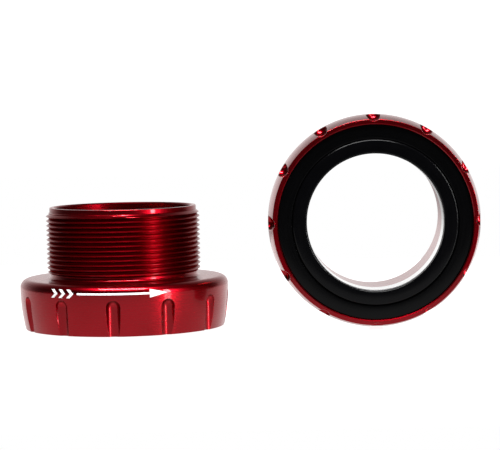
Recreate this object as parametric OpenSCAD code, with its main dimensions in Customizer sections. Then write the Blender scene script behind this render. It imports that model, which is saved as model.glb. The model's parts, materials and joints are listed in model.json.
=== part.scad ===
// Threaded outboard bottom bracket for a 30 mm crank spindle: a pair of cups laid out on a surface.
// Each cup is modelled about its own axis, with its outboard face at z = 0 and its barrel along +z.
// The left cup is upright, with its axis vertical. The right cup stands on its rim and faces forwards.
// The origin is on the surface, midway between the two cups' axes.

/* [Layout] */
// Distance between the two cups' axes
cup_spacing = 56.6; // [50:0.2:90]
// How far the right cup's outboard face is in front of the left cup's axis
right_face_y = 18; // [0:0.5:23]
// Turn of the left cup about its axis, in degrees
left_phase = 28; // [0:0.5:30]

/* [Flange] */
// Largest radius of the flange
flange_r = 23.6; // [23.4:0.05:25]
// Height of the flange from the outboard face to the shell face
flange_h = 11.3; // [11:0.1:13]
// Radius of the rounded shoulder at the shell face
shoulder_r = 1.9; // [1:0.1:2]
// Radius of the long curve down the flange's side
side_curve_r = 42; // [36:1:80]
// Edge break at the outboard face
edge_break = 0.15; // [0.1:0.05:0.3]

/* [Tool grooves] */
// Number of grooves round the flange
groove_count = 12; // [6:1:16]
// Radius of the ball-nosed cutter
groove_cut_r = 1.6; // [1.2:0.05:2]
// Radius of the groove's floor, from the cup's axis
groove_floor_r = 22.1; // [22:0.05:22.4]
// Height of the groove's rounded end above the outboard face
groove_top_z = 8; // [5:0.1:8.5]

/* [Threaded barrel] */
// Overall length of a cup
cup_length = 27.3; // [25:0.1:30]
// Radius over the thread crests, 1.37 inch
thread_r = 17.4; // [17.3:0.01:17.5]
// Thread pitch, 24 threads to the inch
thread_pitch = 1.0583; // [1:0.0001:1.1]
// Radial depth of the thread
thread_depth = 0.6; // [0.5:0.01:0.65]
// Radius of the neck and of the plain pilot
neck_r = 16.6; // [16.5:0.05:16.7]
// Length of the plain pilot at the barrel's end
pilot_len = 1.04; // [0.8:0.02:1.4]
// Inside radius of the barrel
barrel_bore_r = 15.5; // [15.4:0.05:15.7]

/* [Bearing] */
// Inside radius, for the spindle
bearing_bore_r = 15; // [15:0.01:15.02]
// Outside radius
bearing_r = 21; // [20.9:0.05:21.1]
// Width
bearing_w = 7; // [6.5:0.1:7]
// Number of balls
ball_count = 18; // [12:1:20]
// Radius of one ball
ball_r = 1.75; // [1.6:0.05:1.75]

/* [Cover and collar] */
// Radius of the recess that the dust cover is pressed into
cover_seat_r = 21.45; // [21.3:0.05:21.6]
// Depth of that recess, down to the bearing
cover_seat_z = 2.2; // [2.1:0.1:2.4]
// Depth of the dust cover's face below the outboard face
cover_face_z = 0.7; // [0.5:0.05:0.9]
// Depth of the collar's face below the outboard face
collar_face_z = 0.25; // [0.2:0.05:0.4]
// Radius of the seam between the cover and the collar
seam_r = 18.2; // [17.8:0.05:18.6]
// Inside radius of the collar
collar_bore_r = 15.05; // [15.02:0.01:15.1]

/* [Hidden] */

$fn = 96;
arc_steps = 8;             // straight steps in a rounded corner or curve of an outline
cut = 0.5;                 // how far a cutting shape runs past what it cuts
fit_gap = 0.02;            // gap left where one piece is pressed into another
run_gap = 0.06;            // gap between a piece that turns and one that doesn't

// cup
mouth_chamfer = 0.2;       // chamfer round the mouth of the cover's recess
bore_chamfer = 0.3;        // chamfer inside the barrel's end
pilot_break = 0.2;         // edge break outside the barrel's end
neck_fillet_r = 0.85;      // fillet between the neck and the shell face
race_relief_r = 19.4;      // the shoulder behind the bearing bears on the outer race only
race_relief = 0.5;         // depth of the relief behind the inner race
shoulder_z = flange_h - shoulder_r;
bearing_end_z = cover_seat_z + bearing_w;
right_axis_z = flange_r;

// thread
crest_flat = thread_pitch / 8;
flank_angle = 30;
flank_run = thread_depth * tan(flank_angle);
root_r = thread_r - thread_depth;
flare_len = 0.64;          // cone from the last crest down to the pilot
neck_flank_run = (thread_r - neck_r) * tan(flank_angle);
last_crest_z = cup_length - pilot_len - flare_len - crest_flat / 2;
lowest_crest_z = flange_h + neck_fillet_r + neck_flank_run + crest_flat / 2;
thread_count = 1 + floor((last_crest_z - lowest_crest_z) / thread_pitch);
first_crest_z = last_crest_z - (thread_count - 1) * thread_pitch;

// bearing
pitch_r = (bearing_bore_r + bearing_r) / 2;
bearing_mid_z = cover_seat_z + bearing_w / 2;
race_groove_r = ball_r + 0.05;
race_groove_shift = 0.02;  // the groove circles sit this far off the ball circle
inner_land_r = 16.7;       // outside radius of the inner race's shoulders
outer_land_r = 19.3;       // inside radius of the outer race's shoulders
race_edge = 0.3;           // edge break on the races
seal_w = 0.7;              // thickness of a bearing seal
seal_inset = 0.15;         // depth of a bearing seal below the races' faces
seal_seat_r = 19.7;        // radius of the recess that holds a seal in the outer race
seal_seat_w = 1;           // depth of that recess
cage_in_r = 17.1;
cage_out_r = 18.9;
cage_back = 2.1;           // the cage's closed side, from the ball centres
cage_front = 1.15;         // its open side, past the widest part of the balls
pocket_r = ball_r + 0.07;

// cover and collar
seam_gap = 0.1;
cover_in_r = seam_r + seam_gap / 2;
collar_r = seam_r - seam_gap / 2;
cover_foot_r = 19.75;      // inside radius of the cover's foot on the outer race
cover_lip_z = 1.45;        // underside of the cover's face
cover_round = 0.25;
collar_flange_r = 19.4;    // the collar's hidden flange, which the cover keeps in
collar_flange_z = 1.6;
collar_flange_h = 0.4;
collar_foot_r = 16.5;
collar_round = 0.4;         // round on the collar's outer edge
collar_bore_round = 0.15;   // round at the mouth of the collar's bore
o_ring_r = 0.42;           // radius of the o-ring's cord
o_ring_mid_r = 15.44;      // radius of the o-ring's centre line
o_ring_z = 1.35;
o_ring_groove_r = 15.9;
o_ring_groove_w = 0.92;

red = [0.62, 0.04, 0.07];
black = [0.09, 0.09, 0.10];
rubber = [0.16, 0.16, 0.17];
steel = [0.75, 0.76, 0.78];
ceramic = [0.28, 0.28, 0.30];
nylon = [0.85, 0.80, 0.66];

// Points along an arc about c, of radius r, from angle a0 to angle a1.
function arc(c, r, a0, a1, steps = arc_steps) =
    [for (i = [0 : steps]) let (a = a0 + (a1 - a0) * i / steps) c + r * [cos(a), sin(a)]];

// Radius of the flange's side at height z below the shoulder.
function side_r(z) =
    flange_r - side_curve_r + sqrt(pow(side_curve_r, 2) - pow(shoulder_z - z, 2));

// The four points of one thread ridge, centred on height z.
function ridge(z) = [
    [root_r, z - crest_flat / 2 - flank_run], [thread_r, z - crest_flat / 2],
    [thread_r, z + crest_flat / 2], [root_r, z + crest_flat / 2 + flank_run]
];

// The ridges one above the other, without the first one's lower root and the last one's upper root.
thread_points = [
    for (i = [0 : thread_count - 1])
        for (p = ridge(first_crest_z + i * thread_pitch))
            if (p.y > first_crest_z - crest_flat && p.y < last_crest_z + crest_flat) p
];

cup_outline = concat(
    [[cover_seat_r + mouth_chamfer, 0], [side_r(0) - edge_break, 0]],
    [for (i = [0 : arc_steps])
        let (z = edge_break + (shoulder_z - edge_break) * i / arc_steps) [side_r(z), z]],
    arc([flange_r - shoulder_r, shoulder_z], shoulder_r, 90 / arc_steps, 90),
    arc([neck_r + neck_fillet_r, flange_h + neck_fillet_r], neck_fillet_r, 270, 180),
    [[neck_r, first_crest_z - crest_flat / 2 - neck_flank_run]],
    thread_points,
    [[neck_r, cup_length - pilot_len], [neck_r, cup_length - pilot_break],
     [neck_r - pilot_break, cup_length], [barrel_bore_r + bore_chamfer, cup_length],
     [barrel_bore_r, cup_length - bore_chamfer], [barrel_bore_r, bearing_end_z + race_relief],
     [race_relief_r, bearing_end_z + race_relief], [race_relief_r, bearing_end_z],
     [bearing_r, bearing_end_z], [bearing_r, cover_seat_z],
     [cover_seat_r, cover_seat_z], [cover_seat_r, mouth_chamfer]]
);

// A ball-nosed cutter standing on its shank, with the top of its nose at groove_top_z.
module groove_cutter() {
    nose_z = groove_top_z - groove_cut_r;
    rotate_extrude($fn = 48)
        polygon(concat([[0, -cut], [groove_cut_r, -cut]], arc([0, nose_z], groove_cut_r, 0, 90)));
}

module cup() {
    color(red)
        difference() {
            rotate_extrude($fn = 144) polygon(cup_outline);
            for (i = [0 : groove_count - 1])
                rotate(i * 360 / groove_count)
                    translate([groove_floor_r + groove_cut_r, 0, 0])
                        groove_cutter();
        }
}

module outer_race() {
    out_r = bearing_r - fit_gap;
    low_z = cover_seat_z;
    high_z = bearing_end_z;
    color(steel)
        difference() {
            rotate_extrude()
                polygon([
                    [seal_seat_r, low_z], [out_r - race_edge, low_z], [out_r, low_z + race_edge],
                    [out_r, high_z - race_edge], [out_r - race_edge, high_z], [seal_seat_r, high_z],
                    [seal_seat_r, high_z - seal_seat_w], [outer_land_r, high_z - seal_seat_w],
                    [outer_land_r, low_z + seal_seat_w], [seal_seat_r, low_z + seal_seat_w]
                ]);
            race_groove(-race_groove_shift);
        }
}

module inner_race() {
    low_z = cover_seat_z;
    high_z = bearing_end_z;
    color(steel)
        difference() {
            rotate_extrude()
                polygon([
                    [bearing_bore_r, low_z + race_edge], [bearing_bore_r + race_edge, low_z],
                    [inner_land_r, low_z], [inner_land_r, high_z],
                    [bearing_bore_r + race_edge, high_z], [bearing_bore_r, high_z - race_edge]
                ]);
            race_groove(race_groove_shift);
        }
}

// The ring-shaped track that the balls roll in, shifted outwards from their own circle.
module race_groove(shift) {
    rotate_extrude()
        translate([pitch_r + shift, bearing_mid_z])
            circle(r = race_groove_r, $fn = 48);
}

// Spheres of radius r round the ball circle.
module ball_ring(r) {
    for (i = [0 : ball_count - 1])
        rotate(i * 360 / ball_count)
            translate([pitch_r, 0, bearing_mid_z])
                sphere(r = r, $fn = 48);
}

module balls() {
    color(ceramic) ball_ring(ball_r);
}

module ball_cage() {
    color(nylon)
        difference() {
            rotate_extrude()
                translate([cage_in_r, bearing_mid_z - cage_back])
                    square([cage_out_r - cage_in_r, cage_back + cage_front]);
            ball_ring(pocket_r);
        }
}

// A bearing seal with its lower face at height z: held in the outer race, clear of the inner race.
module bearing_seal(z) {
    color(rubber)
        translate([0, 0, z])
            ring(inner_land_r + run_gap, seal_seat_r - fit_gap, seal_w);
}

// A flat ring between two radii, from height 0 to h.
module ring(in_r, out_r, h) {
    difference() {
        cylinder(r = out_r, h = h);
        translate([0, 0, -cut]) cylinder(r = in_r, h = h + 2 * cut);
    }
}

module dust_cover() {
    out_r = cover_seat_r - fit_gap;
    color(black)
        rotate_extrude()
            polygon(concat(
                arc([cover_in_r + cover_round, cover_face_z + cover_round], cover_round, 180, 270),
                arc([out_r - cover_round, cover_face_z + cover_round], cover_round, 270, 360),
                [[out_r, cover_seat_z], [cover_foot_r, cover_seat_z],
                 [cover_foot_r, cover_lip_z], [cover_in_r, cover_lip_z]]
            ));
}

module spindle_collar() {
    top_z = collar_face_z;
    flange_end_z = collar_flange_z + collar_flange_h;
    color(black)
        difference() {
            rotate_extrude()
                polygon(concat(
                    arc([collar_bore_r + collar_bore_round, top_z + collar_bore_round],
                        collar_bore_round, 180, 270),
                    arc([collar_r - collar_round, top_z + collar_round], collar_round, 270, 360),
                    [[collar_r, collar_flange_z], [collar_flange_r, collar_flange_z],
                     [collar_flange_r, flange_end_z], [collar_foot_r, flange_end_z],
                     [collar_foot_r, cover_seat_z], [collar_bore_r, cover_seat_z]]
                ));
            translate([0, 0, o_ring_z - o_ring_groove_w / 2])
                cylinder(r = o_ring_groove_r, h = o_ring_groove_w);
        }
}

module spindle_o_ring() {
    color(rubber)
        rotate_extrude()
            translate([o_ring_mid_r, o_ring_z])
                circle(r = o_ring_r, $fn = 32);
}

// From a cup's own frame to the left cup's place, upright on its outboard face.
module on_left() {
    translate([-cup_spacing / 2, 0, 0]) rotate(left_phase) children();
}

// From a cup's own frame to the right cup's place, on its rim with its outboard face forwards.
module on_right() {
    translate([cup_spacing / 2, -right_face_y, right_axis_z]) rotate([-90, 0, 0]) children();
}

module left_cup() { on_left() cup(); }
module left_outer_race() { on_left() outer_race(); }
module left_inner_race() { on_left() inner_race(); }
module left_balls() { on_left() balls(); }
module left_ball_cage() { on_left() ball_cage(); }
module left_outboard_seal() { on_left() bearing_seal(cover_seat_z + seal_inset); }
module left_inboard_seal() { on_left() bearing_seal(bearing_end_z - seal_inset - seal_w); }
module left_dust_cover() { on_left() dust_cover(); }
module left_spindle_collar() { on_left() spindle_collar(); }
module left_spindle_o_ring() { on_left() spindle_o_ring(); }
module right_cup() { on_right() cup(); }
module right_outer_race() { on_right() outer_race(); }
module right_inner_race() { on_right() inner_race(); }
module right_balls() { on_right() balls(); }
module right_ball_cage() { on_right() ball_cage(); }
module right_outboard_seal() { on_right() bearing_seal(cover_seat_z + seal_inset); }
module right_inboard_seal() { on_right() bearing_seal(bearing_end_z - seal_inset - seal_w); }
module right_dust_cover() { on_right() dust_cover(); }
module right_spindle_collar() { on_right() spindle_collar(); }
module right_spindle_o_ring() { on_right() spindle_o_ring(); }

left_cup();
left_outer_race();
left_inner_race();
left_balls();
left_ball_cage();
left_outboard_seal();
left_inboard_seal();
left_dust_cover();
left_spindle_collar();
left_spindle_o_ring();
right_cup();
right_outer_race();
right_inner_race();
right_balls();
right_ball_cage();
right_outboard_seal();
right_inboard_seal();
right_dust_cover();
right_spindle_collar();
right_spindle_o_ring();
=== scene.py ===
"""The looks of a threaded bottom bracket: two red anodised cups with bearing, cover and collar.

Lengths are in millimetres and become metres where a mesh, a light or a texture needs them.
Each cup's own frame has its outboard face at z = 0 and its barrel along +z. So have its pieces.
"""
import json
import math

import bmesh
import bpy
from mathutils import Matrix, Vector


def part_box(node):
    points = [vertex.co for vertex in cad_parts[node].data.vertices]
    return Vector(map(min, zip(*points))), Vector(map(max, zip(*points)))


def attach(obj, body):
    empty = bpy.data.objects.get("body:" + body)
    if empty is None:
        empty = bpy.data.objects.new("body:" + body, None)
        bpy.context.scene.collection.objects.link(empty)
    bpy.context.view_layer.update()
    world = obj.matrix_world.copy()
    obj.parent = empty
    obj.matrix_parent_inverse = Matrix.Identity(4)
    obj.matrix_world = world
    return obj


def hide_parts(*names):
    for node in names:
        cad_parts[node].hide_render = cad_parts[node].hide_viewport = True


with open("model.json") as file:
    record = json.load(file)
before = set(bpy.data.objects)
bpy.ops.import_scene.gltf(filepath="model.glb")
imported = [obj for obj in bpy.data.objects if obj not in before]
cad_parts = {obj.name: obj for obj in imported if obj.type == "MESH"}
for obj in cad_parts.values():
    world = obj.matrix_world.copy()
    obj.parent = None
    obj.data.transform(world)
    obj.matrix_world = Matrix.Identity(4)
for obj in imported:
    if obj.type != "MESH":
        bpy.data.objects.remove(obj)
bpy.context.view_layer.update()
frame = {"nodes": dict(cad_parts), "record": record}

MM = 0.001

# ---- Driving dimensions, from the frame ----
mounts = {mount["name"]: mount for mount in frame["record"]["mounts"]}
thread_r = mounts["left_shell_thread"]["dims"]["r_mm"]
barrel_bore_r = mounts["left_barrel_bore"]["dims"]["r_mm"]
flange_r = mounts["left_tool_grooves"]["dims"]["r_mm"]
groove_count = mounts["left_tool_grooves"]["dims"]["count"]
groove_top_z = mounts["left_tool_grooves"]["dims"]["length_mm"]
flange_h = mounts["left_shell_face"]["pos_m"][2] / MM
bearing_mid_z = mounts["left_spindle_bore"]["pos_m"][2] / MM
bearing_w = mounts["left_spindle_bore"]["dims"]["length_mm"]
left_axis_x = mounts["left_shell_thread"]["pos_m"][0] / MM
right_axis_x = mounts["right_shell_thread"]["pos_m"][0] / MM
right_axis_z = mounts["right_shell_thread"]["pos_m"][2] / MM
right_face_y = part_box("right_cup")[0].y / MM
cup_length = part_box("left_cup")[1].z / MM
left_phase = 28.0  # degrees that the left cup is turned, so its grooves stand as in the photo

# ---- Cup ----
shoulder_r = 1.9
side_curve_r = 42.0
groove_cut_r = 1.6
groove_floor_r = 22.1
neck_r = 16.6
neck_fillet_r = 0.85
pilot_len = 1.04
pilot_round = 0.2
flare_len = 0.64
thread_pitch = 25.4 / 24
thread_depth = 0.6
thread_crest_half = thread_pitch / 16
thread_corner = 0.035  # a ridge's corners are softened this far to each side
flank_angle = math.radians(30)
bore_chamfer = 0.3
mouth_chamfer = 0.2
cover_seat_r = 21.45
bearing_r = 21.0
race_relief_r = 19.4
race_relief = 0.5
edge_break = 0.11
RIGHT_HAND, LEFT_HAND = 1, -1
thread_shift = -0.16  # along the axis, so the ridges stand as in the photo
neck_land = 0.18  # plain neck between its fillet and the thread
shelf_ring_w = 2.0  # a ring of mesh on the shelf, this far outside the fillet
shoulder_z = flange_h - shoulder_r
cutter_r = groove_floor_r + groove_cut_r
nose_z = groove_top_z - groove_cut_r

# ---- Direction mark, an arrow printed on the left cup ----
# Values ending in _s are lengths round the flange. They start at mark_angle, in degrees.
mark_angle = -97.0
mark_middle_z = 9.45
mark_half_h = 0.95
mark_line_h = 0.42
mark_head_s = 10.2
mark_tip_s = 14.2
chevron_s = (-13.0, -10.9, -8.8)
chevron_run = 1.0
chevron_w = 0.85
mark_lift = 0.012
mark_depth = 0.03

# ---- Cover and collar ----
cover_seat_z = bearing_mid_z - bearing_w / 2
bearing_end_z = bearing_mid_z + bearing_w / 2
fit_gap = 0.02
cover_r = cover_seat_r - fit_gap
cover_in_r = 18.25
cover_foot_r = 19.75
cover_face_z = 0.7
cover_lip_z = 1.45
cover_round = 0.25
collar_bore_r = 15.05
collar_r = 18.15
collar_face_z = 0.25
collar_round = 0.4
collar_bore_round = 0.4
collar_flange_r = 19.4
collar_flange_z = 1.6
collar_flange_end_z = 2.0
collar_foot_r = 16.5
o_ring_groove_r = 15.9
o_ring_z = 1.35
o_ring_groove_w = 0.92

# ---- Mesh fineness ----
columns_per_groove = 16
columns = columns_per_groove * groove_count
flank_steps, corner_steps = 10, 3
nose_steps = columns_per_groove + 2 * corner_steps
floor_steps, skin_steps = 8, 7
skin_crowding = 1.4  # above 1, the flange's points crowd towards the groove
edge_search_steps = 40
turns_below, turns_above = 2, 3  # spare turns of thread, flattened into its run-outs
shoulder_steps, fillet_steps, pilot_steps = 12, 10, 5
pilot_start = 15  # degrees, the first point of the pilot's round after its own corner
cover_steps, collar_steps, lip_steps = 6, 7, 5
shaft_steps, head_steps, chevron_steps = (48, 2), (10, 8), (12, 3)
bevel_steps = 2
sharp_angle = math.radians(35)
weld = 0.0005  # points nearer than this become one

# ---- Looks ----
# Colours are linear. A pair of colours or roughnesses is what a noise spreads between. A noise is
# its scale, detail and roughness. Relief is the distance, in millimetres, and strength of a bump.
NOISE_LOW, NOISE_HIGH = 0.3, 0.7  # most of a Noise texture's values
TURN_SQUEEZE = 0.0004  # shortens the way round the axis, so that turning marks come out long
RED_COLOURS = (0.22, 0.0011, 0.0045), (0.245, 0.0016, 0.0062)
RED_ROUGHNESS = 0.26, 0.3
RED_ANISOTROPY = 0.3
RED_LINES, RED_CLOUDS, RED_RELIEF = (9000, 3, 0.6), (160, 2), (0.0003, 0.12)
RED_COAT, COAT_ROUGHNESS, COAT_IOR = 0.25, 0.05, 1.5
# Painted shade in the thread's roots: a darker base colour, a duller specular tint and no coat
# stand in for the shade between the ridges. It fades out at the thread's ends.
ROOT_SHADE_COLOUR = (0.1, 0.0004, 0.0018)
ROOT_SHADE_TINT, CREST_TINT = (0.5, 0.25, 0.25), (1.0, 0.98, 0.97)
CREST_BAND = 0.1  # the outermost part of a ridge that is fully a crest
ROOT_SHADE_FADE_LOW, ROOT_SHADE_FADE_HIGH = (0.0, 0.3), (-0.2, 0.1)  # at the thread's ends, along the axis
COVER_COLOUR, COVER_ROUGHNESS = (0.0005, 0.0005, 0.0006), 0.2
COLLAR_COLOUR, COLLAR_ROUGHNESS = (0.0007, 0.0007, 0.0009), 0.18
BLACK_SHINE, BLACK_SPREAD, BLACK_ROUGHNESS_SPREAD = 0.1, 0.15, 0.03
BLACK_LINES, BLACK_GRAIN, BLACK_DUST, BLACK_RELIEF = (6000, 2), (5000, 2), (300, 3), (0.001, 0.2)
# The plain materials: noise, colours, roughness, relief, metallic.
GRAINED = {
    "bearing_steel": (
        (2500, 3), ((0.66, 0.66, 0.65), (0.74, 0.74, 0.74)), (0.14, 0.22), (0.001, 0.3), 1.0),
    "ball_ceramic": (
        (6000, 2), ((0.05, 0.05, 0.055), (0.08, 0.08, 0.09)), (0.06, 0.1), None, 0.0),
    "cage_nylon": (
        (3000, 2), ((0.66, 0.58, 0.4), (0.72, 0.65, 0.48)), (0.42, 0.52), (0.004, 0.4), 0.0),
    "seal_rubber": (
        (4000, 3), ((0.014, 0.014, 0.014), (0.024, 0.024, 0.024)), (0.55, 0.7), (0.006, 0.5), 0.0),
    "printed_white": (
        (1800, 3), ((0.66, 0.66, 0.67), (0.8, 0.8, 0.8)), (0.42, 0.55), (0.002, 0.3), 0.0),
}

# ---- Stage ----
FLOOR_LOW, FLOOR_HIGH = (-170, -150), (170, 170)  # the x and y of two opposite corners
FLOOR_GREY, FLOOR_GLOW, FLOOR_ROUGHNESS, FLOOR_SHINE = 0.07, 0.92, 0.25, 0.25
# The world's strength in a direction is the product of three ramps along its Y or Z: each has
# the two values between which it ramps, and the strengths at them.
WALLS_BY_Y = 0.3, 1.05, 0.05, 1.0
DOME_BY_Z = 0.05, 0.4, 1.3, 0.7
TABLE_BY_Z = -0.12, 0.0, 0.3, 0.95
# Name, place, target, width and height, watts.
LAMPS = (
    ("front_top", (-20, -270, 520), (0, 0, 10), (400, 160), 9.0),
    ("right_strip", (352, -306, 130), (-20, 0, 12), (64, 260), 2.3),
)
CAMERA_PLACE = (8.3, -478.0, 53.4)
CAMERA_YAW, CAMERA_PITCH, CAMERA_ROLL = (math.radians(a) for a in (-0.93, 3.71, -1.13))
SENSOR_W, FOCAL_LENGTH, CLIP_START = 36, 151.9, 10


# ---- Mesh helpers ----
def polar(r, angle, z):
    """The point at that radius, angle in degrees and height, in a cup's own frame."""
    a = math.radians(angle)
    return (r * math.cos(a), r * math.sin(a), z)


def arc(centre, r, start, end, steps):
    """(radius, height) points along an arc of an outline, with its angles in degrees."""
    angles = [math.radians(start + (end - start) * i / steps) for i in range(steps + 1)]
    return [(centre[0] + r * math.cos(a), centre[1] + r * math.sin(a)) for a in angles]


class Skin:
    """The points and faces of one mesh while it is put together."""

    def __init__(self):
        self.points = []
        self.faces = []

    def add(self, points):
        """Adds points and returns their numbers."""
        first = len(self.points)
        self.points.extend(points)
        return list(range(first, len(self.points)))

    def ring(self, r, z):
        """Adds a ring of points round the axis."""
        return self.add([polar(r, 360 * i / columns, z) for i in range(columns)])

    def grid(self, rows):
        """Joins neighbouring rows of equal length with quads."""
        for a, b in zip(rows, rows[1:]):
            for i in range(len(a) - 1):
                self.faces.append((a[i], a[i + 1], b[i + 1], b[i]))

    def lathe(self, outline):
        """Turns an outline of (radius, height) points about the axis."""
        rows = [self.ring(r, z) for r, z in outline]
        self.grid([row + row[:1] for row in rows])
        return rows

    def zipper(self, outer, inner):
        """Fills the flat band between two rings that may have different numbers of points."""
        def angle(i):
            x, y, _ = self.points[i]
            return math.degrees(math.atan2(y, x)) % 360

        outer, inner = sorted(outer, key=angle), sorted(inner, key=angle)
        outer_angles = [angle(i) for i in outer] + [angle(outer[0]) + 360]
        inner_angles = [angle(i) for i in inner] + [angle(inner[0]) + 360]
        outer.append(outer[0])
        inner.append(inner[0])
        i = j = 0
        while i < len(outer) - 1 or j < len(inner) - 1:
            step_outer = j == len(inner) - 1 or (
                i < len(outer) - 1 and outer_angles[i + 1] <= inner_angles[j + 1])
            if step_outer:
                self.faces.append((outer[i], outer[i + 1], inner[j]))
                i += 1
            else:
                self.faces.append((outer[i], inner[j + 1], inner[j]))
                j += 1

    def make(self, name, placement, phase=0.0, bevel_edges=None):
        """Makes the object, in metres, turned by the phase in degrees.

        bevel_edges says of an edge whether it gets a small round.
        """
        bm = bmesh.new()
        turn = Matrix.Rotation(math.radians(phase), 4, "Z")
        verts = [bm.verts.new(turn @ Vector(p) * MM) for p in self.points]
        for face in self.faces:
            corners = [verts[i] for i in dict.fromkeys(face)]
            if len(corners) > 2:
                bm.faces.new(corners)
        bmesh.ops.remove_doubles(bm, verts=bm.verts, dist=weld * MM)
        bmesh.ops.dissolve_degenerate(bm, edges=bm.edges, dist=weld * MM)
        bmesh.ops.recalc_face_normals(bm, faces=bm.faces)
        weight = bm.edges.layers.float.new("bevel_weight_edge")
        for edge in bm.edges:
            sharp = edge.is_manifold and edge.calc_face_angle() > sharp_angle
            rounded = sharp and bevel_edges is not None and bevel_edges(edge)
            edge[weight] = 1.0 if rounded else 0.0
            edge.smooth = rounded or not sharp
        for face in bm.faces:
            face.smooth = True
        mesh = bpy.data.meshes.new(name)
        bm.to_mesh(mesh)
        bm.free()
        piece = bpy.data.objects.new(name, mesh)
        bpy.context.scene.collection.objects.link(piece)
        piece.matrix_world = placement
        if bevel_edges is not None:
            bevel = piece.modifiers.new("edge_break", "BEVEL")
            bevel.limit_method = "WEIGHT"
            bevel.width = edge_break * MM
            bevel.segments = bevel_steps
            bevel.harden_normals = True
        return piece


# ---- Cup geometry ----
def side_r(z):
    """Radius of the flange's long curved side at height z."""
    return flange_r - side_curve_r + math.sqrt(side_curve_r ** 2 - (shoulder_z - z) ** 2)


def groove_point(centre_angle, z, across, up):
    """A point of the groove's wall. across is the angle from the cutter's deepest line.

    up is the direction in which across opens, seen from the axis: 0 and pi on the straight
    flanks, and between them round the ball nose. Both angles are in radians.
    """
    inward = groove_cut_r * math.cos(across)
    aside = groove_cut_r * math.sin(across) * math.cos(up)
    rise = groove_cut_r * math.sin(across) * math.sin(up)
    x, y = cutter_r - inward, aside
    turn = math.radians(centre_angle)
    cos, sin = math.cos(turn), math.sin(turn)
    return (x * cos - y * sin, x * sin + y * cos, z + rise)


def groove_edge(z, up):
    """The cutter angle at which the groove's wall meets the flange's side."""
    low, high = 0.0, math.pi / 2
    for _ in range(edge_search_steps):
        middle = (low + high) / 2
        x, y, height = groove_point(0, z, middle, up)
        if math.hypot(x, y) < side_r(height):
            low = middle
        else:
            high = middle
    return low


def groove_stations():
    """(height, direction) pairs up one flank of a groove, round its nose and down the other."""
    heights = [nose_z * i / flank_steps for i in range(flank_steps)]
    left = [(z, math.pi) for z in heights]
    nose = [(nose_z, math.pi * (1 - i / nose_steps)) for i in range(nose_steps + 1)]
    right = [(z, 0.0) for z in reversed(heights)]
    return left + nose + right


def sector_border(stations, half_angle):
    """The (angle, height) on the border of the groove's share of the side, for each station."""
    border = []
    nose = [i for i, (z, _) in enumerate(stations) if z == nose_z]
    for i, (z, _) in enumerate(stations):
        k = i - nose[0]
        if k < 0:
            border.append((-half_angle, z))
        elif i > nose[-1]:
            border.append((half_angle, z))
        elif k <= corner_steps:
            border.append((-half_angle, nose_z + (shoulder_z - nose_z) * k / corner_steps))
        elif k < corner_steps + columns_per_groove:
            share = (k - corner_steps) / columns_per_groove
            border.append((-half_angle + 2 * half_angle * share, shoulder_z))
        else:
            down = (len(nose) - 1 - k) / corner_steps
            border.append((half_angle, nose_z + (shoulder_z - nose_z) * down))
    return border


def add_groove_sector(skin, centre_angle):
    """One groove and the side round it. Returns the numbers of its outboard face's points."""
    half_angle = 180 / groove_count
    stations = groove_stations()
    border = sector_border(stations, half_angle)
    rows = []
    for (z, up), (border_angle, border_z) in zip(stations, border):
        edge = groove_edge(z, up)
        row = [groove_point(centre_angle, z, edge * i / floor_steps, up)
               for i in range(floor_steps + 1)]
        x, y, start_z = groove_point(0, z, edge, up)
        start_angle = math.degrees(math.atan2(y, x))
        for i in range(1, skin_steps + 1):
            share = (i / skin_steps) ** skin_crowding
            angle = start_angle + (border_angle - start_angle) * share
            height = start_z + (border_z - start_z) * share
            row.append(polar(side_r(height), centre_angle + angle, height))
        rows.append(skin.add(row))
    skin.grid(rows)
    return rows[0] + rows[-1][1:]


def thread_stations():
    """(offset, depth) pairs of one thread, from the middle of one root to just before the next."""
    crest, corner = thread_crest_half, thread_corner
    flank = thread_depth * math.tan(flank_angle)
    half = [
        (crest - corner, 0.0), (crest + corner, corner / flank),
        (crest + flank - corner, 1 - corner / flank), (crest + flank + corner, 1.0)]
    rising = [(-offset, depth) for offset, depth in reversed(half)]
    return [(-thread_pitch / 2, 1.0)] + rising + half


def add_thread(skin, hand):
    """The helical thread with its run-outs. hand is RIGHT_HAND or LEFT_HAND.

    Returns the heights at which it starts and ends.
    """
    low_z = flange_h + neck_fillet_r + neck_land
    high_z = cup_length - pilot_len
    entry_slope = (thread_r - neck_r) / flare_len
    exit_slope = 1 / math.tan(flank_angle)
    profile = thread_stations()
    turns = math.ceil((high_z - low_z) / thread_pitch) + turns_above
    rows = []
    for turn in range(-turns_below, turns):
        turn_z = low_z + thread_shift + turn * thread_pitch
        for offset, depth in profile:
            row = []
            for column in range(columns):
                lead = hand * thread_pitch * column / columns
                z = min(max(turn_z + offset + lead, low_z), high_z)
                run_out = neck_r + min((z - low_z) * exit_slope, (high_z - z) * entry_slope)
                r = min(thread_r - thread_depth * depth, run_out)
                row.append(polar(r, 360 * column / columns, z))
            rows.append(skin.add(row))
    skin.grid(rows)
    shift = hand * len(profile)
    for i in range(len(rows) - 1):
        if 0 <= i + shift and i + 1 + shift < len(rows):
            skin.faces.append((rows[i][-1], rows[i + shift][0],
                               rows[i + 1 + shift][0], rows[i + 1][-1]))
    return low_z, high_z


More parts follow.
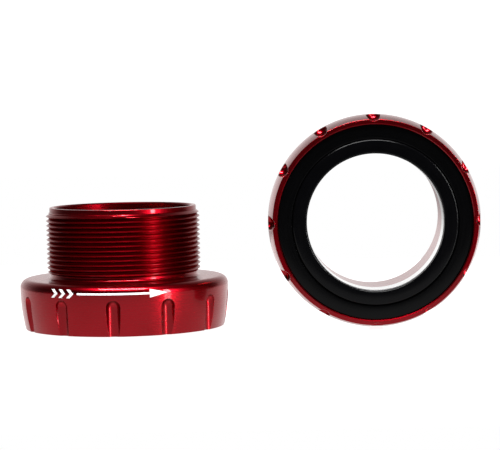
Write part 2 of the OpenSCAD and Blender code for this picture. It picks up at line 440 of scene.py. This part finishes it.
def make_cup(name, hand, phase, placement):
    """A flanged cup with twelve ball-nosed grooves and a true helical thread on its barrel."""
    skin = Skin()
    outboard_points = []
    for i in range(groove_count):
        outboard_points += add_groove_sector(skin, i * 360 / groove_count)
    low_z, high_z = add_thread(skin, hand)
    skin.lathe(
        arc((flange_r - shoulder_r, shoulder_z), shoulder_r, 0, 90, shoulder_steps)
        + [(neck_r + neck_fillet_r + shelf_ring_w, flange_h)]
        + arc((neck_r + neck_fillet_r, flange_h + neck_fillet_r), neck_fillet_r,
              270, 180, fillet_steps)
        + [(neck_r, low_z)])
    rows = skin.lathe(
        [(neck_r, high_z), (neck_r, cup_length - pilot_round)]
        + arc((neck_r - pilot_round, cup_length - pilot_round), pilot_round,
              pilot_start, 90, pilot_steps)
        + [(barrel_bore_r + bore_chamfer, cup_length), (barrel_bore_r, cup_length - bore_chamfer),
           (barrel_bore_r, (cup_length + bearing_end_z) / 2),
           (barrel_bore_r, bearing_end_z + race_relief),
           (race_relief_r, bearing_end_z + race_relief), (race_relief_r, bearing_end_z),
           (bearing_r, bearing_end_z), (bearing_r, cover_seat_z), (cover_seat_r, cover_seat_z),
           (cover_seat_r, mouth_chamfer), (cover_seat_r + mouth_chamfer, 0)])
    outer = {}
    for i in outboard_points:
        key = tuple(round(c, 3) for c in skin.points[i])
        outer.setdefault(key, i)
    skin.zipper(list(outer.values()), rows[-1])

    def has_edge_break(edge):
        middle = (edge.verts[0].co + edge.verts[1].co) / 2 / MM
        r = math.hypot(middle.x, middle.y)
        return middle.z < shoulder_z and r > cover_seat_r + mouth_chamfer

    return skin.make(name, placement, phase, has_edge_break)


# ---- Direction mark ----
def on_flange(s, h, lift):
    """A point on the flange: s round it, h up it from the mark's middle, lift off its skin."""
    angle = mark_angle + math.degrees(s / flange_r)
    z = mark_middle_z + h
    if z < shoulder_z:
        return polar(side_r(z) + lift, angle, z)
    bend = (z - shoulder_z) / shoulder_r
    r = flange_r - shoulder_r + (shoulder_r + lift) * math.cos(bend)
    return polar(r, angle, shoulder_z + (shoulder_r + lift) * math.sin(bend))


def add_mark_patch(skin, shape, rows, rows_across):
    """A thin closed patch on the flange. shape turns two values from 0 to 1 into (s, h)."""
    borders = []
    for lift in (mark_lift, -mark_depth):
        grid = []
        for i in range(rows + 1):
            places = [shape(i / rows, j / rows_across) for j in range(rows_across + 1)]
            grid.append(skin.add([on_flange(s, h, lift) for s, h in places]))
        skin.grid(grid)
        inner = grid[1:-1]
        border = (grid[0] + [row[-1] for row in inner]
                  + grid[-1][::-1] + [row[0] for row in reversed(inner)])
        borders.append(border + border[:1])
    skin.grid(borders)


def make_direction_mark(name, placement):
    """A plain printed arrow with three chevrons behind it."""
    skin = Skin()
    line_s = chevron_s[-1] + chevron_run + 2 * chevron_w

    def shaft(u, v):
        return line_s + (mark_head_s - line_s) * u, mark_line_h * (v - 0.5)

    def head(u, v):
        return mark_head_s + (mark_tip_s - mark_head_s) * u, mark_half_h * (2 * v - 1) * (1 - u)

    add_mark_patch(skin, shaft, *shaft_steps)
    add_mark_patch(skin, head, *head_steps)
    for start in chevron_s:
        def chevron(u, v, start=start):
            s = start + chevron_run * (1 - abs(2 * u - 1)) + chevron_w * v
            return s, mark_half_h * (2 * u - 1)

        add_mark_patch(skin, chevron, *chevron_steps)
    return skin.make(name, placement)


def make_dust_cover(name, placement):
    """The black ring pressed into the cup in front of the bearing."""
    skin = Skin()
    face = arc((cover_in_r + cover_round, cover_face_z + cover_round), cover_round,
               180, 270, cover_steps)
    face += arc((cover_r - cover_round, cover_face_z + cover_round), cover_round,
                270, 360, cover_steps)
    back = [(cover_r, cover_seat_z), (cover_foot_r, cover_seat_z),
            (cover_foot_r, cover_lip_z), (cover_in_r, cover_lip_z)]
    rows = skin.lathe(face + back)
    skin.grid([rows[-1] + rows[-1][:1], rows[0] + rows[0][:1]])
    return skin.make(name, placement)


def make_collar(name, placement):
    """The black ring that turns with the spindle, with a groove inside for its O-ring."""
    skin = Skin()
    lip = arc((collar_bore_r + collar_bore_round, collar_face_z + collar_bore_round),
              collar_bore_round, 180, 270, lip_steps)
    lip += arc((collar_r - collar_round, collar_face_z + collar_round), collar_round,
               270, 360, collar_steps)
    back = [(collar_r, collar_flange_z), (collar_flange_r, collar_flange_z),
            (collar_flange_r, collar_flange_end_z), (collar_foot_r, collar_flange_end_z),
            (collar_foot_r, cover_seat_z), (collar_bore_r, cover_seat_z)]
    groove_top, groove_foot = o_ring_z + o_ring_groove_w / 2, o_ring_z - o_ring_groove_w / 2
    groove = [(collar_bore_r, groove_top), (o_ring_groove_r, groove_top),
              (o_ring_groove_r, groove_foot), (collar_bore_r, groove_foot)]
    rows = skin.lathe(lip + back + groove)
    skin.grid([rows[-1] + rows[-1][:1], rows[0] + rows[0][:1]])
    return skin.make(name, placement)


# ---- Materials ----
def new_material(name):
    """An empty Principled material. Returns it with its node tree and shader."""
    material = bpy.data.materials.new(name)
    material.use_nodes = True
    tree = material.node_tree
    shader = tree.nodes["Principled BSDF"]
    return material, tree, shader


def math_node(tree, operation, a, b=None):
    """A Math node's output. a and b are sockets or numbers."""
    node = tree.nodes.new("ShaderNodeMath")
    node.operation = operation
    for socket, value in zip(node.inputs, (a, b)):
        if value is None:
            continue
        if isinstance(value, (int, float)):
            socket.default_value = value
        else:
            tree.links.new(value, socket)
    return node.outputs[0]


def turned_coordinates(tree):
    """The object's coordinates, and (radius, height, squeezed angle) for marks left by turning."""
    where = tree.nodes.new("ShaderNodeTexCoord").outputs["Object"]
    split = tree.nodes.new("ShaderNodeSeparateXYZ")
    tree.links.new(where, split.inputs[0])
    x, y, z = split.outputs
    radius = math_node(tree, "SQRT", math_node(tree, "ADD", math_node(tree, "MULTIPLY", x, x),
                                               math_node(tree, "MULTIPLY", y, y)))
    turn = math_node(tree, "ARCTAN2", y, x)
    joined = tree.nodes.new("ShaderNodeCombineXYZ")
    tree.links.new(radius, joined.inputs[0])
    tree.links.new(z, joined.inputs[1])
    tree.links.new(math_node(tree, "MULTIPLY", turn, TURN_SQUEEZE), joined.inputs[2])
    return where, joined.outputs[0]


def noise(tree, vector, scale, detail, roughness=0.5):
    """A Noise texture's value."""
    node = tree.nodes.new("ShaderNodeTexNoise")
    node.inputs["Scale"].default_value = scale
    node.inputs["Detail"].default_value = detail
    node.inputs["Roughness"].default_value = roughness
    tree.links.new(vector, node.inputs["Vector"])
    return node.outputs[0]


def map_range(tree, value, low, high):
    """Spreads a noise value over low to high."""
    node = tree.nodes.new("ShaderNodeMapRange")
    node.inputs["From Min"].default_value = NOISE_LOW
    node.inputs["From Max"].default_value = NOISE_HIGH
    node.inputs["To Min"].default_value = low
    node.inputs["To Max"].default_value = high
    tree.links.new(value, node.inputs["Value"])
    return node.outputs[0]


def smooth_ramp(tree, value, low, high, at_low, at_high):
    """A smooth step from at_low to at_high as the value goes from low to high."""
    node = tree.nodes.new("ShaderNodeMapRange")
    node.interpolation_type = "SMOOTHSTEP"
    node.inputs["From Min"].default_value = low
    node.inputs["From Max"].default_value = high
    node.inputs["To Min"].default_value = at_low
    node.inputs["To Max"].default_value = at_high
    tree.links.new(value, node.inputs["Value"])
    return node.outputs[0]


def blend_colours(tree, share, a, b):
    """A mix of two colours by a value from 0 to 1. b is a colour or a socket."""
    node = tree.nodes.new("ShaderNodeMix")
    node.data_type = "RGBA"
    tree.links.new(share, node.inputs["Factor"])
    node.inputs["A"].default_value = (*a, 1)
    if isinstance(b, tuple):
        node.inputs["B"].default_value = (*b, 1)
    else:
        tree.links.new(b, node.inputs["B"])
    return node.outputs["Result"]


def bump(tree, shader, height, distance, strength):
    """Lets a value from 0 to 1 raise the surface by up to distance, in millimetres."""
    node = tree.nodes.new("ShaderNodeBump")
    node.inputs["Strength"].default_value = strength
    node.inputs["Distance"].default_value = distance * MM
    tree.links.new(height, node.inputs["Height"])
    tree.links.new(node.outputs[0], shader.inputs["Normal"])


def thread_unshaded_share(tree, turned):
    """0 in the thread's roots, which get painted shade, and 1 on its crests and everywhere else."""
    split = tree.nodes.new("ShaderNodeSeparateXYZ")
    tree.links.new(turned, split.inputs[0])
    radius, height, _ = split.outputs
    root_r, core_r = thread_r - thread_depth, (neck_r + thread_r - thread_depth) / 2
    crest_r = thread_r - CREST_BAND
    low_z, high_z = flange_h + neck_fillet_r, cup_length - pilot_len - flare_len
    fade_in = [(low_z + shift) * MM for shift in ROOT_SHADE_FADE_LOW]
    fade_out = [(high_z + shift) * MM for shift in ROOT_SHADE_FADE_HIGH]
    crest = smooth_ramp(tree, radius, root_r * MM, crest_r * MM, 0.0, 1.0)
    core = smooth_ramp(tree, radius, neck_r * MM, core_r * MM, 1.0, 0.0)
    above = smooth_ramp(tree, height, *fade_out, 0.0, 1.0)
    below = smooth_ramp(tree, height, *fade_in, 1.0, 0.0)
    ends = math_node(tree, "MAXIMUM", above, below)
    return math_node(tree, "MAXIMUM", math_node(tree, "MAXIMUM", crest, core), ends)


def anodised_red():
    """Turned aluminium under a clear, red-dyed oxide layer, with painted shade in the thread's
    roots.
    """
    material, tree, shader = new_material("anodised_red")
    where, turned = turned_coordinates(tree)
    lines = noise(tree, turned, *RED_LINES)
    clouds = noise(tree, where, *RED_CLOUDS)
    shader.inputs["Metallic"].default_value = 1.0
    shader.inputs["Coat Roughness"].default_value = COAT_ROUGHNESS
    shader.inputs["Coat IOR"].default_value = COAT_IOR
    shader.inputs["Anisotropic"].default_value = RED_ANISOTROPY
    colour = blend_colours(tree, map_range(tree, clouds, 0, 1), *RED_COLOURS)
    # Painted shade: in the thread's roots the base colour darkens, the specular tint dulls and the
    # coat goes.
    crest = thread_unshaded_share(tree, turned)
    tint = blend_colours(tree, crest, ROOT_SHADE_TINT, CREST_TINT)
    tree.links.new(blend_colours(tree, crest, ROOT_SHADE_COLOUR, colour), shader.inputs["Base Color"])
    tree.links.new(tint, shader.inputs["Specular Tint"])
    tree.links.new(math_node(tree, "MULTIPLY", crest, RED_COAT), shader.inputs["Coat Weight"])
    tree.links.new(map_range(tree, lines, *RED_ROUGHNESS), shader.inputs["Roughness"])
    tangent = tree.nodes.new("ShaderNodeTangent")
    tangent.direction_type = "RADIAL"
    tangent.axis = "Z"
    tree.links.new(tangent.outputs[0], shader.inputs["Tangent"])
    bump(tree, shader, lines, *RED_RELIEF)
    return material


def black_plastic(name, colour, roughness):
    """A smooth, satin moulded black, with faint marks from turning the mould."""
    material, tree, shader = new_material(name)
    where, turned = turned_coordinates(tree)
    lines = noise(tree, turned, *BLACK_LINES)
    grain = noise(tree, where, *BLACK_GRAIN)
    dust = noise(tree, where, *BLACK_DUST)
    light = tuple(c * (1 + BLACK_SPREAD) for c in colour)
    dark = tuple(c * (1 - BLACK_SPREAD) for c in colour)
    shade = blend_colours(tree, map_range(tree, dust, 0, 1), dark, light)
    spread = BLACK_ROUGHNESS_SPREAD
    gloss = map_range(tree, lines, roughness - spread, roughness + spread)
    tree.links.new(shade, shader.inputs["Base Color"])
    tree.links.new(gloss, shader.inputs["Roughness"])
    shader.inputs["Specular IOR Level"].default_value = BLACK_SHINE
    bump(tree, shader, math_node(tree, "ADD", grain, lines), *BLACK_RELIEF)
    return material


def grained(name):
    """One of the plain materials, whose colour, roughness and relief follow one noise."""
    fineness, colours, roughness, relief, metallic = GRAINED[name]
    material, tree, shader = new_material(name)
    where = tree.nodes.new("ShaderNodeTexCoord").outputs["Object"]
    grain = noise(tree, where, *fineness)
    shade = blend_colours(tree, map_range(tree, grain, 0, 1), *colours)
    shader.inputs["Metallic"].default_value = metallic
    tree.links.new(shade, shader.inputs["Base Color"])
    tree.links.new(map_range(tree, grain, *roughness), shader.inputs["Roughness"])
    if relief:
        bump(tree, shader, grain, *relief)
    return material


def paint(piece, material):
    """Gives every face of a piece or of a CAD node the one material."""
    if not piece.data.materials:
        piece.data.materials.append(material)
    for slot in piece.material_slots:
        slot.material = material


# ---- Stage ----
def make_floor():
    """A plain pale light table, slightly glossy. Past its edges the camera sees the white world."""
    left, front = (value * MM for value in FLOOR_LOW)
    right, back = (value * MM for value in FLOOR_HIGH)
    corners = [(left, front, 0), (right, front, 0), (right, back, 0), (left, back, 0)]
    mesh = bpy.data.meshes.new("floor")
    mesh.from_pydata(corners, [], [(0, 1, 2, 3)])
    floor = bpy.data.objects.new("floor", mesh)
    bpy.context.scene.collection.objects.link(floor)
    material, _, shader = new_material("floor_white")
    shader.inputs["Base Color"].default_value = (FLOOR_GREY, FLOOR_GREY, FLOOR_GREY, 1)
    shader.inputs["Emission Color"].default_value = (1, 1, 1, 1)
    shader.inputs["Emission Strength"].default_value = FLOOR_GLOW
    shader.inputs["Roughness"].default_value = FLOOR_ROUGHNESS
    shader.inputs["Specular IOR Level"].default_value = FLOOR_SHINE
    paint(floor, material)


def make_light(name, place, target, size, power):
    """A soft rectangular light at place, facing target, with power in watts."""
    light = bpy.data.lights.new(name, "AREA")
    light.shape = "RECTANGLE"
    light.size, light.size_y = size[0] * MM, size[1] * MM
    light.energy = power
    lamp = bpy.data.objects.new(name, light)
    lamp.location = Vector(place) * MM
    lamp.rotation_euler = (Vector(target) - Vector(place)).to_track_quat("-Z", "Y").to_euler()
    lamp.visible_camera = False
    bpy.context.scene.collection.objects.link(lamp)


def make_world():
    """A white backdrop. The object mirrors a studio that is dark on the camera's side."""
    world = bpy.data.worlds.new("studio")
    bpy.context.scene.world = world
    world.use_nodes = True
    tree = world.node_tree
    background = tree.nodes["Background"]
    direction = tree.nodes.new("ShaderNodeTexCoord").outputs["Generated"]
    split = tree.nodes.new("ShaderNodeSeparateXYZ")
    tree.links.new(direction, split.inputs[0])
    walls = smooth_ramp(tree, split.outputs["Y"], *WALLS_BY_Y)
    dome = smooth_ramp(tree, split.outputs["Z"], *DOME_BY_Z)
    table = smooth_ramp(tree, split.outputs["Z"], *TABLE_BY_Z)
    seen = tree.nodes.new("ShaderNodeLightPath").outputs["Is Camera Ray"]
    studio = math_node(tree, "MULTIPLY", math_node(tree, "MULTIPLY", walls, dome), table)
    strength = math_node(tree, "MAXIMUM", studio, seen)
    background.inputs["Color"].default_value = (1, 1, 1, 1)
    tree.links.new(strength, background.inputs["Strength"])


def make_camera():
    """The photograph's view: almost level, looking slightly down."""
    place = Vector(CAMERA_PLACE) * MM
    yaw, pitch, roll = CAMERA_YAW, CAMERA_PITCH, CAMERA_ROLL
    forward = Vector((math.sin(yaw) * math.cos(pitch), math.cos(yaw) * math.cos(pitch),
                      -math.sin(pitch)))
    level = Vector((math.cos(yaw), -math.sin(yaw), 0))
    up = level.cross(forward)
    side = math.cos(roll) * level + math.sin(roll) * up
    top = math.cos(roll) * up - math.sin(roll) * level
    data = bpy.data.cameras.new("camera")
    data.sensor_width = SENSOR_W
    data.lens = FOCAL_LENGTH
    data.clip_start = CLIP_START * MM
    camera = bpy.data.objects.new("camera", data)
    attitude = Matrix((side, top, -forward)).transposed().to_4x4()
    camera.matrix_world = Matrix.Translation(place) @ attitude
    bpy.context.scene.collection.objects.link(camera)
    bpy.context.scene.camera = camera


# ---- The object ----
left_place = Matrix.Translation(Vector((left_axis_x, 0, 0)) * MM)
right_place = (Matrix.Translation(Vector((right_axis_x, right_face_y, right_axis_z)) * MM)
               @ Matrix.Rotation(math.radians(-90), 4, "X"))

red = anodised_red()
cover_black = black_plastic("cover_black", COVER_COLOUR, COVER_ROUGHNESS)
collar_black = black_plastic("collar_black", COLLAR_COLOUR, COLLAR_ROUGHNESS)
steel, ceramic = grained("bearing_steel"), grained("ball_ceramic")
nylon, rubber = grained("cage_nylon"), grained("seal_rubber")
node_materials = {
    "outer_race": steel, "balls": ceramic, "ball_cage": nylon, "outboard_seal": rubber,
    "inner_race": steel, "inboard_seal": rubber, "spindle_o_ring": rubber,
}

for side, place, phase, hand in (
        ("left", left_place, left_phase, RIGHT_HAND), ("right", right_place, 0, LEFT_HAND)):
    cup = make_cup(f"{side}_anodised_cup", hand, phase, place)
    cover = make_dust_cover(f"{side}_moulded_cover", place)
    collar = make_collar(f"{side}_moulded_collar", place)
    made = (
        (cup, "cup", "housing", red, "anodised_red"),
        (cover, "dust_cover", "housing", cover_black, "cover_black"),
        (collar, "spindle_collar", "rotor", collar_black, "collar_black"),
    )
    for piece, node, body, material, slot in made:
        paint(piece, material)
        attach(piece, f"{side}_{body}")
        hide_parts(f"{side}_{node}")
    for node, material in node_materials.items():
        paint(frame["nodes"][f"{side}_{node}"], material)

mark = make_direction_mark("left_direction_mark", left_place)
paint(mark, grained("printed_white"))
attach(mark, "left_housing")

make_floor()
make_world()
for lamp_values in LAMPS:
    make_light(*lamp_values)
make_camera()
bpy.context.scene.view_settings.view_transform = "Standard"
